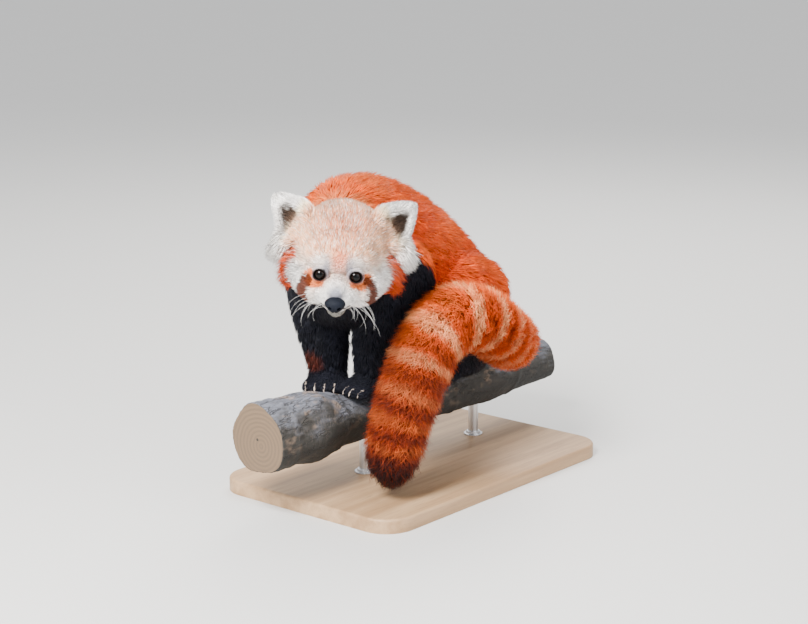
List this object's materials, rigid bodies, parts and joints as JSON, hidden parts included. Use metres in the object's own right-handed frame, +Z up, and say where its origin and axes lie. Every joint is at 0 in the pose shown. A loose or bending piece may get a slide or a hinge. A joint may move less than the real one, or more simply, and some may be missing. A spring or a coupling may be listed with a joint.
{
  "type": "red panda display model",
  "caption": "Life-size still model of a red panda sitting with its forepaws together on a cut branch, tail hanging over the side, on a plain stand.",
  "frame": {"origin": "centre of the underside of the stand's base, on the floor", "axes": "+Z up, branch along Y, the animal's head end towards -Y, its left side towards +X"},
  "size_m": [0.269, 0.5069, 0.361],
  "materials": {
    "rust_coat": "long orange-red fur",
    "cream_coat": "short pale fur",
    "white_coat": "short white fur",
    "black_coat": "dense blue-black fur",
    "tail_coat": "long ringed fur",
    "eye": "glossy dark brown",
    "nose": "moist black skin",
    "bark": "grey-brown bark",
    "stand_wood": "satin oiled oak",
    "stand_steel": "brushed"
  },
  "bodies": {
    "root": {"torso": "rust_coat", "neck": "rust_coat", "head": "cream_coat", "ear_left": "white_coat", "ear_right": "white_coat", "eye_left": "eye", "eye_right": "eye", "nose": "nose", "foreleg_left": "black_coat", "foreleg_right": "black_coat", "forepaw_left": "black_coat", "forepaw_right": "black_coat", "hindleg_left": "rust_coat", "hindleg_right": "rust_coat", "hindpaw_left": "black_coat", "hindpaw_right": "black_coat", "tail_base": "tail_coat", "tail_arch": "tail_coat", "tail_middle": "tail_coat", "tail_tip": "tail_coat", "perch": "bark", "stand_base": "stand_wood", "stand_rod_front": "stand_steel", "stand_rod_rear": "stand_steel"}
  },
  "joints": []
}
